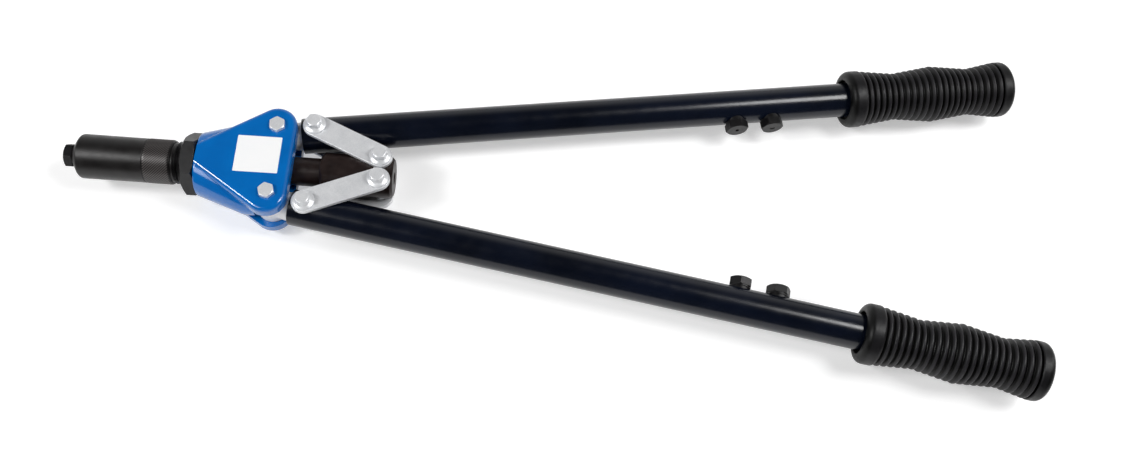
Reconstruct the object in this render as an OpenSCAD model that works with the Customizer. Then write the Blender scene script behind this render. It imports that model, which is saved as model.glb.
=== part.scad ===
// Long arm hand riveter: two long tubular arms pull a draw bar through a forked body.
// The origin is the tip of the fitted nosepiece, on the tool's axis.
// +X runs from the nose to the handles, +Z is square to the plane in which the arms swing.

/* [Nosepieces] */
// Hex of a nosepiece across its flats
nosepiece_af = 13; // [11:0.5:15]
// Height of a nosepiece's hex head
nosepiece_head_h = 5; // [4:0.5:7]
// Thread diameter of a nosepiece's neck
nosepiece_neck_d = 10; // [9:0.5:11]
// Length of a nosepiece's neck, its rear cone included
nosepiece_neck_l = 8.8; // [8:0.2:9.6]
// Mandrel hole of the fitted nosepiece
fitted_hole_d = 4.2; // [3:0.1:5]
// Mandrel hole of the front spare nosepiece on the upper arm
upper_front_hole_d = 2.1; // [1.8:0.1:5]
// Mandrel hole of the rear spare nosepiece on the upper arm
upper_rear_hole_d = 3.1; // [1.8:0.1:5]
// Mandrel hole of the front spare nosepiece on the lower arm
lower_front_hole_d = 2.7; // [1.8:0.1:5]
// Mandrel hole of the rear spare nosepiece on the lower arm
lower_rear_hole_d = 3.6; // [1.8:0.1:5]

/* [Nose sleeve] */
// Outer diameter of the sleeve
sleeve_d = 27; // [26.4:0.2:30]
// Diameter of the sleeve's tip, where the nosepiece seats
sleeve_tip_d = 13.4; // [12:0.2:15]
// Length of the cone behind the tip
sleeve_cone_l = 4.8; // [3.6:0.2:6]
// Length of the sleeve from its tip to the end of the knurl
sleeve_l = 59.6; // [56:0.2:70]
// Thickness of the sleeve's threaded tip wall
sleeve_tip_wall = 7; // [5:0.5:7.5]
// Inner diameter of the sleeve
sleeve_bore_d = 22.6; // [22.4:0.1:23]
// Length of the knurled band
knurl_l = 16; // [10:1:22]
// Height of the knurled band over the sleeve
knurl_h = 0.15; // [0.1:0.05:0.3]
// Wall of the threaded tail, its thread included
tail_wall = 1.7; // [1.4:0.05:1.7]
// Length of bare thread between the sleeve and the lock nut
tail_gap = 5.4; // [4:0.2:12]
// Depth to which the tail is screwed into the body
tail_depth = 16.5; // [12:0.5:20]
// Pitch of the tail's thread
tail_pitch = 1.5; // [1:0.25:2]

/* [Lock nut] */
// Lock nut across its flats
lock_nut_af = 34; // [32:0.5:34]
// Height of the lock nut
lock_nut_h = 9.8; // [6:0.2:12]
// Length of the cone on the lock nut's front
lock_nut_cone_l = 3.5; // [1:0.5:5]

/* [Body] */
// Thickness of the body
body_t = 33.2; // [31:0.2:36]
// How far the two round sides of the barrel stand apart at its front
boss_spread = 7.2; // [6:0.2:10]
// How far they stand apart where the barrel meets the slot
barrel_spread = 36.8; // [34:0.2:40]
// Diameter of the barrel's round sides where it meets the slot
barrel_side_d = 24; // [20:0.5:26]
// Distance from the body's front to the arm pivots
boss_to_pivot = 45.8; // [44:0.1:56]
// Distance between the two arm pivots
pivot_spacing = 44.1; // [44:0.1:50]
// Radius of the cheeks' lobes over the arm pivots
lobe_r = 12.1; // [11.5:0.1:12.5]
// Distance between the centres of the lobes
lobe_spacing = 45.2; // [44.4:0.1:46]
// How far the lobes' centres lie in front of the arm pivots
lobe_lead = 0.8; // [0:0.1:1.2]
// Radius of the cheeks' front end
cheek_nose_r = 15.2; // [12:0.1:16]
// Height of the slot between the two cheeks
slot_t = 17; // [16:0.2:19]
// Radius of the slot's end round each arm pivot
pocket_r = 12.2; // [12:0.1:13]
// Radius of the body's outer edges
body_edge_r = 3; // [1:0.2:4]

/* [Draw bar] */
// Diameter of the rod
rod_d = 17.6; // [17:0.1:18.4]
// Diameter of the crosshead behind the rod
crosshead_d = 25.4; // [24:0.2:25.4]
// Height of the crosshead over its two flats
crosshead_flat_h = 22; // [20:0.2:22]
// Length of the crosshead
crosshead_l = 44; // [36:0.5:46]
// Crosshead behind the rear link bolts
crosshead_rear_l = 8.2; // [7:0.1:12]
// Diameter of the mandrel passage through the draw bar
passage_d = 7; // [5:0.2:8]

/* [Jaw set] */
// Outer diameter of the jaw case
case_d = 21.8; // [21.4:0.1:21.8]
// Length of the jaw case
case_l = 37; // [34:0.5:40]
// Gap between the nosepiece and the jaws with the arms wide open
jaw_front_gap = 0.6; // [0.4:0.1:2]
// Length of the jaws
jaw_l = 12; // [10:0.5:15]
// Half angle of the jaw cone
jaw_cone_a = 10; // [8:0.5:11]
// Diameter of the case's front opening
case_mouth_d = 12; // [11.6:0.1:12.4]
// Diameter of the hole between the closed jaws
jaw_grip_d = 2.4; // [1.8:0.1:3]
// Pitch of the jaws' teeth
jaw_tooth_pitch = 1; // [0.8:0.1:1.5]
// Wire of the pusher spring
spring_wire_d = 1.4; // [1:0.1:1.6]
// Turns of the pusher spring
spring_turns = 6; // [4:1:8]
// Length of the pusher spring
spring_l = 16; // [14:0.5:18]

/* [Arms] */
// Angle of each arm to the tool's axis as the tool lies in the picture
arm_a = 9.2; // [7:0.2:12]
// Length of an arm from its pivot to the end of its grip
arm_l = 476; // [440:1:560]
// Diameter of the arm tube
tube_d = 22; // [20:0.1:22]
// Wall of the arm tube
tube_wall = 2; // [1.5:0.1:2.5]
// Distance from the pivot to the front end of the tube
tube_start = 13; // [12.5:0.1:14]
// Radius of the lever's eye round the pivot
lever_eye_r = 11; // [9:0.1:11]
// Length of the lever inside the tube
lever_shank_l = 42; // [30:1:60]

/* [Links] */
// Distance from an arm pivot to the arm's link bolt
link_lead = 22; // [20.5:0.1:24]
// Distance between the two holes of a link strap
link_l = 45.4; // [44:0.1:50]
// Distance between the two rear link bolts
rear_bolt_spacing = 15; // [14.9:0.1:16]
// Width of a link strap
link_w = 14.6; // [12:0.1:14.6]
// Thickness of a link strap
link_t = 3; // [2:0.1:4]
// Play round the front link bolt, where the linkage is left open
front_play = 0.9; // [0.8:0.05:1.5]

/* [Fasteners] */
// Diameter of the link bolts
link_bolt_d = 6; // [5:0.5:6]
// Link bolt head across its flats
link_bolt_af = 8; // [8:0.5:9]
// Height of a link bolt's hex above its flange
link_hex_h = 4.6; // [3:0.1:6]
// Flange diameter of the link bolts and nuts
flange_d = 13; // [12:0.1:14]
// Flange thickness of the link bolts and nuts
flange_t = 1.6; // [1:0.1:2]
// Diameter of the arm pivot bolts
pivot_bolt_d = 6; // [5:0.5:7]
// Pivot bolt head across its flats
pivot_bolt_af = 9; // [8:0.5:11]
// Height of a pivot bolt's head
pivot_head_h = 3.5; // [3:0.1:5]
// Height of a pivot nut
pivot_nut_h = 5; // [4:0.5:6]

/* [Grips] */
// Length of a grip
grip_l = 113; // [100:1:130]
// Diameter of the collar at the front of a grip
grip_collar_d = 37; // [34:0.5:40]
// Length of the collar
grip_collar_l = 11.3; // [9:0.1:14]
// Diameter over the ribs at the two waists
grip_waist_d = 30.6; // [29:0.2:34]
// How much wider the ribs are at the swell between the two waists
grip_swell = 6.2; // [2:0.2:7]
// Number of ribs between the collar and the end cap
grip_ribs = 22; // [16:1:26]
// Depth of the grooves between the ribs
grip_groove = 1.5; // [0.8:0.1:2]
// Length of the smooth end cap behind the ribs
grip_cap_l = 8.4; // [6:0.2:12]
// Thickness of the grip's closed end behind the tube
grip_end_t = 8; // [6:0.5:10]

/* [Nosepiece stowage] */
// Distance from the pivot to the front spare nosepiece
spare_s = 288; // [260:1:300]
// Distance between the two spare nosepieces of an arm
spare_pitch = 23.5; // [20:0.5:30]
// Height of a threaded seat's rim over the tube
seat_rim_h = 1; // [0.5:0.1:2]
// Diameter of a threaded seat
seat_d = 13; // [12.6:0.1:14]

/* [Hidden] */
$fn = 64;

// Overlap that makes sure a cut goes right through
over = 1;
// Radial clearance of a thread or a shank that is clamped
fit = 0.03;
// Radial clearance of a part that turns or slides
run = 0.06;
// Gap between flat faces that slide past each other
slide_gap = 0.1;
// Gap between a link strap and the tube or the crosshead
strap_gap = 0.3;
// Side clearance of a lever in the body's slot
lever_gap = 0.3;

tail_d = sleeve_bore_d + 2 * tail_wall;

// Stations along the tool's axis
sleeve_x = nosepiece_head_h;
sleeve_end_x = sleeve_x + sleeve_l;
lock_nut_x = sleeve_end_x + tail_gap;
body_x = lock_nut_x + lock_nut_h;
pivot_x = body_x + boss_to_pivot;
pivot_y = pivot_spacing / 2;
slot_x = pivot_x - pocket_r;
tail_end_x = body_x + tail_depth;
neck_end_x = nosepiece_head_h + nosepiece_neck_l;

// Front link bolt, on the arm's axis, and rear link bolt, on the crosshead
front_bolt_x = pivot_x + link_lead * cos(arm_a);
front_bolt_y = pivot_y + link_lead * sin(arm_a);
rear_bolt_y = rear_bolt_spacing / 2;
link_rise = front_bolt_y - rear_bolt_y;
rear_bolt_x = front_bolt_x + sqrt(link_l * link_l - link_rise * link_rise);
link_a = asin(link_rise / link_l);
crosshead_end_x = rear_bolt_x + crosshead_rear_l;
crosshead_x = crosshead_end_x - crosshead_l;

// Heights of the stack on the arm tube and on the crosshead
strap_z = max(tube_d, crosshead_flat_h) / 2 + strap_gap;
flange_z = strap_z + link_t + slide_gap;
hex_top_z = flange_z + flange_t + link_hex_h;
shank_reach = 1.2;

// Travel of the draw bar as the arms open from the pictured pose by 30 degrees
open_travel = 10.2;
// Travel of the jaws inside their case
jaw_travel = 2.5;

// Stations of the jaw set, with the arms as pictured
jaw_x = neck_end_x + jaw_front_gap + open_travel;
jaw_end_x = jaw_x + jaw_l;
case_x = jaw_x - 1;
case_end_x = case_x + case_l;
jaw_mouth_r = case_mouth_d / 2;
jaw_front_r = jaw_mouth_r + (jaw_x - case_x) * tan(jaw_cone_a);
jaw_end_r = jaw_front_r + jaw_l * tan(jaw_cone_a);
cone_end_x = jaw_end_x + jaw_travel + 0.3;
chamber_r = jaw_mouth_r + (cone_end_x - case_x) * tan(jaw_cone_a);
pusher_flange_t = 2.5;
spring_x = jaw_end_x + pusher_flange_t;
spring_end_x = spring_x + spring_l;
spring_r = (passage_d / 2 + 2.6) + spring_wire_d / 2;
spring_pocket_r = spring_r + spring_wire_d / 2 + 0.3;
rod_x = spring_x + jaw_travel + 1;
case_nut_h = 5;

/* Helpers */
// A cylinder along the tool's axis from one station to another
module x_rod(from, to, d) {
    translate([from, 0, 0])
        rotate([0, 90, 0])
            cylinder(d = d, h = to - from, $fn = 96);
}

// A cone along the tool's axis
module x_cone(from, to, d1, d2) {
    translate([from, 0, 0])
        rotate([0, 90, 0])
            cylinder(d1 = d1, d2 = d2, h = to - from, $fn = 96);
}

// A turned shape along the tool's axis, from [radius, station] points
module x_turned(points) {
    rotate([0, 90, 0])
        rotate_extrude($fn = 96)
            polygon(points);
}

// A hexagonal prism whose first corner points at the given angle
module hex_prism(af, h, turn = 0) {
    rotate(turn)
        cylinder(d = af / cos(30), h = h, $fn = 6);
}

// A hexagon whose top corners are turned off by a 30 degree cone
module hex_head(af, h, turn = 0) {
    top_r = af / 2 * 0.97;
    rise = tan(60);
    intersection() {
        hex_prism(af, h, turn);
        translate([0, 0, -over])
            cylinder(r1 = top_r + (h + over) * rise, r2 = top_r - over * rise, h = h + 2 * over, $fn = 96);
    }
}

// Everything on the lower side is the upper side seen in a mirror
module on_side(side) {
    if (side > 0)
        children();
    else
        mirror([0, 1, 0])
            children();
}

// The arm's own frame: its origin at the pivot and +X along the arm
module arm_frame(side) {
    on_side(side)
        translate([pivot_x, pivot_y, 0])
            rotate(arm_a)
                children();
}

// The link's own frame: its origin at the rear bolt and +X towards the front bolt
module link_frame(side) {
    on_side(side)
        translate([rear_bolt_x, rear_bolt_y, 0])
            rotate(180 - link_a)
                children();
}

// A disc with rounded rims, as a few stacked cylinders for a hull
module soft_disc(r, h, edge) {
    for (a = [0, 30, 60, 90])
        translate([0, 0, -h / 2 + edge * (1 - sin(a))])
            cylinder(r = r - edge * (1 - cos(a)), h = h - 2 * edge * (1 - sin(a)), $fn = 48);
}

/* Body */
// The casting's front: a barrel with round sides that spreads until it meets the slot. It lies a
// little lower than the faces of the cheeks.
module barrel() {
    front_edge = 1.4;
    front_d = body_t - 0.4;
    hull()
        for (side = [-1, 1]) {
            for (a = [0, 30, 60, 90])
                translate([0, side * boss_spread / 2, 0])
                    x_rod(body_x + front_edge * (1 - sin(a)), body_x + front_edge + 1,
                        front_d - 2 * front_edge * (1 - cos(a)));
            translate([0, side * barrel_spread / 2, 0])
                x_rod(pivot_x - pocket_r - 3.6, pivot_x - 0.72 * pocket_r, barrel_side_d);
        }
}

// The two cheeks, above and below: flat plates with rounded outer edges
module cheeks() {
    difference() {
        hull() {
            translate([body_x + cheek_nose_r + 0.5, 0, 0])
                soft_disc(cheek_nose_r, body_t, body_edge_r);
            for (side = [-1, 1])
                translate([pivot_x - lobe_lead, side * lobe_spacing / 2, 0])
                    soft_disc(lobe_r, body_t, body_edge_r);
        }
        translate([body_x, -pivot_y - 2 * lobe_r, -slot_t / 2])
            cube([boss_to_pivot + 3 * lobe_r, 2 * pivot_y + 4 * lobe_r, slot_t]);
    }
}

// The slot in the barrel, with a round end in front of each lever's eye
module body_slot() {
    translate([0, 0, -slot_t / 2])
        linear_extrude(slot_t) {
            for (side = [-1, 1])
                translate([pivot_x, side * pivot_y])
                    circle(r = pocket_r, $fn = 96);
            translate([slot_x, -pivot_y])
                square([pocket_r + lobe_r + over, 2 * pivot_y]);
        }
}

module body_casting() {
    color("#0b5cab")
        difference() {
            union() {
                barrel();
                cheeks();
            }
            x_rod(body_x - over, tail_end_x + 0.5, tail_d + 2 * fit);
            x_rod(body_x, pivot_x + 2 * lobe_r, rod_d + 2 * run);
            body_slot();
            for (side = [-1, 1])
                translate([pivot_x, side * pivot_y, -body_t / 2 - over])
                    cylinder(d = pivot_bolt_d + 2 * fit, h = body_t + 2 * over);
        }
}

// Big hexagon nut that locks the sleeve's thread against the body
module lock_nut() {
    corner_r = lock_nut_af / 2 / cos(30);
    barrel_r = corner_r + over;
    front_r = tail_d / 2 + 1;
    front_rise = (corner_r - front_r) / lock_nut_cone_l;
    rear_r = corner_r - 2;
    rear_rise = 2;
    color("#26262a")
        difference() {
            intersection() {
                translate([lock_nut_x, 0, 0])
                    rotate([0, 90, 0])
                        hex_prism(lock_nut_af, lock_nut_h, lock_nut_turn);
                x_turned([
                    [0, lock_nut_x - over],
                    [front_r - over * front_rise, lock_nut_x - over],
                    [barrel_r, lock_nut_x + (barrel_r - front_r) / front_rise],
                    [barrel_r, lock_nut_x + lock_nut_h - (barrel_r - rear_r) / rear_rise],
                    [rear_r - over * rear_rise, lock_nut_x + lock_nut_h + over],
                    [0, lock_nut_x + lock_nut_h + over]
                ]);
            }
            x_rod(lock_nut_x - over, lock_nut_x + lock_nut_h + over, tail_d + 2 * fit);
        }
}
lock_nut_turn = 42.5;

/* Nose */
// The sleeve's outside as [radius, station] points, from its tip to its threaded tail
function sleeve_outline() = [
    [0, sleeve_x],
    [sleeve_tip_d / 2, sleeve_x],
    [sleeve_d / 2 - 0.4, sleeve_x + sleeve_cone_l - 0.4],
    [sleeve_d / 2, sleeve_x + sleeve_cone_l + 0.5],
    [sleeve_d / 2, sleeve_end_x - knurl_l - 0.4],
    [sleeve_d / 2 + knurl_h, sleeve_end_x - knurl_l],
    [sleeve_d / 2 + knurl_h, sleeve_end_x - 0.4],
    [sleeve_d / 2 - 0.4, sleeve_end_x],
    [tail_root_r, sleeve_end_x],
    [tail_root_r, thread_x]
];

// Depth of the thread, its root, and the end of the relief groove in front of it
thread_depth = tail_pitch * 0.5;
tail_root_r = tail_d / 2 - thread_depth;
thread_x = sleeve_end_x + 1.2;
// Ridges of bare thread that show between the groove and the lock nut
thread_ridges = floor((lock_nut_x - thread_x) / tail_pitch);

function thread_outline() = [
    for (i = [0:thread_ridges - 1], step = [0:2])
        [
            step == 1 ? tail_d / 2 : step == 2 ? tail_d / 2 - 0.1 : tail_root_r,
            thread_x + (i + [0.05, 0.4, 0.6][step]) * tail_pitch
        ]
];

function tail_outline() = [
    [tail_root_r, thread_x + thread_ridges * tail_pitch],
    [tail_d / 2, lock_nut_x],
    [tail_d / 2, tail_end_x - 0.6],
    [tail_d / 2 - 0.6, tail_end_x],
    [0, tail_end_x]
];

module nose_sleeve() {
    color("#3a3a3c")
        difference() {
            x_turned(concat(sleeve_outline(), thread_outline(), tail_outline()));
            x_rod(sleeve_x + sleeve_tip_wall, tail_end_x + over, sleeve_bore_d);
            x_rod(sleeve_x - over, sleeve_x + sleeve_tip_wall + over, nosepiece_neck_d + 2 * fit);
        }
}

// A nosepiece with its tip at the origin and its neck along +X
module nosepiece(hole_d, turn = 0) {
    tail_cone_l = 2.5;
    neck_end = nosepiece_head_h + nosepiece_neck_l;
    difference() {
        union() {
            translate([nosepiece_head_h, 0, 0])
                rotate([0, -90, 0])
                    hex_head(nosepiece_af, nosepiece_head_h, turn);
            x_rod(nosepiece_head_h - over, neck_end - tail_cone_l, nosepiece_neck_d);
            x_cone(neck_end - tail_cone_l, neck_end, nosepiece_neck_d, nosepiece_neck_d * 0.7);
        }
        x_rod(-over, neck_end + over, hole_d);
        x_cone(neck_end - 1.2, neck_end + 0.01, hole_d, hole_d + 1.6);
    }
}

module nosepiece_fitted() {
    color("#2b2b2e")
        nosepiece(fitted_hole_d, 30);
}

/* Pivot bolts and nuts */
pivot_head_turn = [96, 106.5];

module pivot_bolts() {
    reach = body_t / 2 + pivot_nut_h + shank_reach;
    color("#c9ced4")
        for (i = [0, 1])
            translate([pivot_x, (1 - 2 * i) * pivot_y, 0]) {
                translate([0, 0, body_t / 2])
                    hex_head(pivot_bolt_af, pivot_head_h, pivot_head_turn[i]);
                translate([0, 0, -reach])
                    cylinder(d = pivot_bolt_d, h = reach + body_t / 2 + over);
            }
}

module pivot_nuts() {
    nut_af = pivot_bolt_d * 1.6 + 0.4;
    color("#c9ced4")
        for (side = [-1, 1])
            translate([pivot_x, side * pivot_y, -body_t / 2])
                mirror([0, 0, 1])
                    difference() {
                        hex_head(nut_af, pivot_nut_h, 15);
                        translate([0, 0, -over])
                            cylinder(d = pivot_bolt_d + 2 * fit, h = pivot_nut_h + 2 * over);
                    }
}

/* Draw bar and jaw set */
module draw_bar() {
    shoulder_l = 1.6;
    chamfer = 1.6;
    flat_z = crosshead_flat_h / 2;
    color("#332a28")
        difference() {
            union() {
                x_rod(rod_x, crosshead_x + over, rod_d);
                x_cone(crosshead_x, crosshead_x + shoulder_l, crosshead_d - 2 * shoulder_l, crosshead_d);
                x_rod(crosshead_x + shoulder_l, crosshead_end_x - chamfer, crosshead_d);
                x_cone(crosshead_end_x - chamfer, crosshead_end_x, crosshead_d, crosshead_d - 2 * chamfer);
            }
            for (z = [flat_z, -flat_z - crosshead_d])
                translate([crosshead_x - over, -crosshead_d, z])
                    cube([crosshead_l + 2 * over, 2 * crosshead_d, crosshead_d]);
            x_rod(rod_x - over, spring_end_x, 2 * spring_pocket_r);
            x_rod(spring_end_x - over, crosshead_end_x + over, passage_d);
            for (side = [-1, 1])
                translate([rear_bolt_x, side * rear_bolt_y, -crosshead_d])
                    cylinder(d = link_bolt_d + 2 * fit, h = 2 * crosshead_d);
        }
}

// Steel case with the cone that closes the jaws, screwed on the front of the rod
module jaw_case() {
    color("#55565a")
        difference() {
            union() {
                x_cone(case_x, case_x + 1, case_d - 2, case_d);
                x_rod(case_x + 1, case_end_x, case_d);
            }
            x_rod(case_x - over, case_x + over, case_mouth_d);
            x_cone(case_x, cone_end_x, case_mouth_d, 2 * chamber_r);
            x_rod(cone_end_x - 0.01, rod_x, 2 * chamber_r);
            x_rod(cone_end_x, case_end_x + over, rod_d + 2 * fit);
        }
}

module case_lock_nut() {
    nut_af = case_d * cos(30);
    color("#3c3c40")
        difference() {
            translate([case_end_x, 0, 0])
                rotate([0, 90, 0])
                    hex_prism(nut_af, case_nut_h);
            x_rod(case_end_x - over, case_end_x + case_nut_h + over, rod_d + 2 * fit);
        }
}

// Teeth of the jaws as [radius, station] points, one saw tooth to each pitch
jaw_teeth = floor((jaw_l - 3) / jaw_tooth_pitch);
jaw_tooth_h = 0.4;
function jaw_teeth_outline() = concat(
    [[0, jaw_x - over], [jaw_grip_d / 2 + 2, jaw_x - over], [jaw_grip_d / 2 + jaw_tooth_h, jaw_x + 1.5]],
    [
        for (i = [0:jaw_teeth - 1], tip = [1, 0])
            [
                jaw_grip_d / 2 + (1 - tip) * jaw_tooth_h,
                jaw_x + 1.5 + (i + (1 - tip) * 0.8 + 0.15) * jaw_tooth_pitch
            ]
    ],
    [[jaw_grip_d / 2 + jaw_tooth_h, jaw_end_x + over], [0, jaw_end_x + over]]
);

// One of three jaws: a third of a cone, cut clear of its neighbours
module jaw(turn) {
    cone_gap = run / cos(jaw_cone_a);
    wedge = 3 * case_d;
    split = 0.35;
    color("#8a8c90")
        rotate([turn, 0, 0])
            difference() {
                x_cone(jaw_x, jaw_end_x, 2 * (jaw_front_r - cone_gap), 2 * (jaw_end_r - cone_gap));
                x_turned(jaw_teeth_outline());
                for (side = [-1, 1])
                    rotate([side * 60, 0, 0])
                        translate([jaw_x - over, side > 0 ? -wedge : -split, -wedge])
                            cube([jaw_l + 2 * over, wedge + split, 2 * wedge]);
            }
}

module jaw_pusher() {
    stem_r = passage_d / 2 + 1.4;
    color("#9a9ca0")
        difference() {
            union() {
                x_rod(jaw_end_x + slide_gap / 2, spring_x, 2 * (jaw_end_r - 0.2));
                x_rod(spring_x - over, spring_x + spring_l - jaw_travel - 2, 2 * stem_r);
            }
            x_rod(jaw_end_x - over, spring_end_x, passage_d - 1);
        }
}

// Round wire swept along a helix, as rings of corners
spring_steps = 16;
spring_sides = 8;
spring_rings = spring_turns * spring_steps;
spring_rise = spring_l - spring_wire_d - 0.1;

function spring_corner(i, j) =
    let (
        wire_r = spring_wire_d / 2,
        turn = i * 360 / spring_steps,
        corner = j * 360 / spring_sides,
        r = spring_r + wire_r * cos(corner),
        x = spring_x + wire_r + 0.05 + spring_rise * i / spring_rings + wire_r * sin(corner)
    )
    [x, r * cos(turn), r * sin(turn)];

module pusher_spring() {
    last = spring_rings * spring_sides;
    color("#b8bcc2")
        polyhedron(
            points = [
                for (i = [0:spring_rings], j = [0:spring_sides - 1])
                    spring_corner(i, j)
            ],
            faces = concat(
                [[for (j = [0:spring_sides - 1]) spring_sides - 1 - j]],
                [
                    for (i = [0:spring_rings - 1], j = [0:spring_sides - 1])
                        let (next = (j + 1) % spring_sides, a = i * spring_sides, b = a + spring_sides)
                        [a + j, a + next, b + next, b + j]
                ],
                [[for (j = [0:spring_sides - 1]) last + j]]
            )
        );
}

/* Link bolts and nuts */
// Flange bolt through the whole stack, head up
module link_bolt(turn) {
    translate([0, 0, flange_z]) {
        cylinder(d1 = flange_d, d2 = flange_d - 1, h = flange_t);
        translate([0, 0, flange_t - 0.4])
            cylinder(d1 = flange_d - 2.5, d2 = link_bolt_af - 0.6, h = 1);
        hex_head(link_bolt_af, flange_t + link_hex_h, turn);
    }
    translate([0, 0, -hex_top_z - shank_reach])
        cylinder(d = link_bolt_d, h = hex_top_z + shank_reach + flange_z + 0.5);
}

// Flange nut under the stack
module link_nut(turn) {
    mirror([0, 0, 1])
        translate([0, 0, flange_z])
            difference() {
                union() {
                    cylinder(d1 = flange_d, d2 = flange_d - 1, h = flange_t);
                    hex_head(link_bolt_af + 1, flange_t + link_hex_h, turn);
                }
                translate([0, 0, -over])
                    cylinder(d = link_bolt_d + 2 * fit, h = flange_t + link_hex_h + 2 * over);
            }
}

rear_head_turn = [8, -4];
front_head_turn = [-3, 26];

module rear_link_bolts() {
    color("#d3d7dc")
        for (i = [0, 1])
            translate([rear_bolt_x, (1 - 2 * i) * rear_bolt_y, 0])
                link_bolt(rear_head_turn[i]);
}

module rear_link_nuts() {
    color("#d3d7dc")
        for (side = [-1, 1])
            translate([rear_bolt_x, side * rear_bolt_y, 0])
                link_nut(12);
}

module front_link_bolt(side) {
    color("#d3d7dc")
        arm_frame(side)
            translate([link_lead, 0, 0])
                link_bolt(front_head_turn[side > 0 ? 0 : 1]);
}

module front_link_nut(side) {
    color("#d3d7dc")
        arm_frame(side)
            translate([link_lead, 0, 0])
                link_nut(25);
}

/* Link straps */
// Flat strap with round ends, above or below the stack
module link_strap(side, level) {
    bottom = level > 0 ? strap_z : -strap_z - link_t;
    color("#cfd4da")
        link_frame(side)
            translate([0, 0, bottom])
                difference() {
                    linear_extrude(link_t) {
                        for (x = [0, link_l])
                            translate([x, 0])
                                circle(d = link_w);
                        translate([0, -link_w / 2])
                            square([link_l, link_w]);
                    }
                    translate([0, 0, -over])
                        cylinder(d = link_bolt_d + 2 * run, h = link_t + 2 * over);
                    translate([link_l, 0, -over])
                        cylinder(d = link_bolt_d + 2 * front_play, h = link_t + 2 * over);
                }
}

/* Arms */
// Forged lever: an eye in the body's slot, a flattened neck, and a round shank in the tube
module arm_lever(side) {
    lever_t = slot_t - 2 * lever_gap;
    bore_d = tube_d - 2 * tube_wall - 2 * fit;
    color("#c4c8cc")
        arm_frame(side)
            difference() {
                union() {
                    translate([0, 0, -lever_t / 2])
                        cylinder(r = lever_eye_r, h = lever_t);
                    intersection() {
                        x_rod(0, tube_start + over, bore_d);
                        translate([0, -bore_d, -lever_t / 2])
                            cube([tube_start + 2 * over, 2 * bore_d, lever_t]);
                    }
                    x_rod(tube_start, tube_start + lever_shank_l, bore_d);
                }
                translate([0, 0, -lever_t])
                    cylinder(d = pivot_bolt_d + 2 * run, h = 2 * lever_t);
                translate([link_lead, 0, -tube_d])
                    cylinder(d = link_bolt_d + 2 * fit, h = 2 * tube_d);
            }
}

// Straight steel tube, bored for the link bolt and for the two nosepiece seats
module arm_tube(side) {
    tube_end = arm_l - grip_end_t;
    color("#15191f")
        arm_frame(side)
            difference() {
                x_rod(tube_start, tube_end, tube_d);
                x_rod(tube_start - over, tube_end + over, tube_d - 2 * tube_wall);
                translate([link_lead, 0, -tube_d])
                    cylinder(d = link_bolt_d + 2 * fit, h = 2 * tube_d);
                for (i = [0, 1])
                    translate([spare_s + i * spare_pitch, 0, 0])
                        rotate([90, 0, 0])
                            cylinder(d = seat_d - 2 * seat_step, h = tube_d);
            }
}

// Step from a seat's rim to its barrel
seat_step = 0.5;

// Threaded seat for a spare nosepiece, let into the inner side of the tube
module nosepiece_seats(side) {
    rim_r = seat_d / 2;
    color("#202226")
        arm_frame(side)
            for (i = [0, 1])
                translate([spare_s + i * spare_pitch, 0, 0])
                    rotate([90, 0, 0])
                        difference() {
                            union() {
                                translate([0, 0, tube_d / 2 - tube_wall - 4])
                                    cylinder(r = rim_r - seat_step - fit, h = tube_wall + 4 + seat_rim_h);
                                translate([0, 0, tube_d / 2 + 0.02])
                                    cylinder(r = rim_r, h = seat_rim_h - 0.02);
                            }
                            translate([0, 0, tube_d / 2 - tube_wall - 5])
                                cylinder(d = nosepiece_neck_d + 2 * fit, h = tube_wall + 6 + seat_rim_h);
                        }
}

// Spare nosepiece, screwed in neck first with its head towards the other arm
module spare_nosepiece(side, i, hole_d) {
    face = tube_d / 2 + seat_rim_h + nosepiece_head_h;
    color("#2b2b2e")
        arm_frame(side)
            translate([spare_s + i * spare_pitch, -face, 0])
                rotate(90)
                    nosepiece(hole_d, 10 + 20 * i);
}

// Outline of the ribs: straight slopes in and out of two waists, the last one steeper
grip_s = arm_l - grip_l;
rib_pitch = (grip_l - grip_collar_l - grip_cap_l) / grip_ribs;
front_waist = 0.305 * grip_l;
rear_waist = 0.761 * grip_l;

function grip_radius(s) =
    let (slope = grip_swell / (rear_waist - front_waist))
    grip_waist_d / 2 + slope * max(min(abs(s - front_waist), abs(s - rear_waist)), 1.3 * (s - rear_waist));

function rib_points(i) =
    let (s = grip_collar_l + i * rib_pitch, r = grip_radius(s + rib_pitch / 2))
    [
        [r - grip_groove, s + 0.12 * rib_pitch],
        [r - 0.4, s + 0.24 * rib_pitch],
        [r, s + 0.44 * rib_pitch],
        [r, s + 0.68 * rib_pitch],
        [r - 0.4, s + 0.88 * rib_pitch],
        [r - grip_groove, s + rib_pitch]
    ];

// Rounded collar, as one arc at its front edge and one at its rear edge
function collar_points() =
    let (front_r = 4.5, rear_r = front_r / 2, tip = grip_collar_d / 2)
    concat(
        [for (a = [180:-15:90]) [tip - front_r + front_r * sin(a), front_r + front_r * cos(a)]],
        [for (a = [90:-18:0]) [tip - rear_r + rear_r * sin(a), grip_collar_l - rear_r + rear_r * cos(a)]]
    );

// Domed end of the grip
function dome_points() =
    let (r = grip_radius(grip_l - grip_cap_l), round_r = grip_cap_l / 2)
    concat(
        [[r, grip_l - grip_cap_l + 0.6]],
        [for (a = [0:15:90]) [r - round_r + round_r * cos(a), grip_l - round_r + round_r * sin(a)]]
    );

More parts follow.
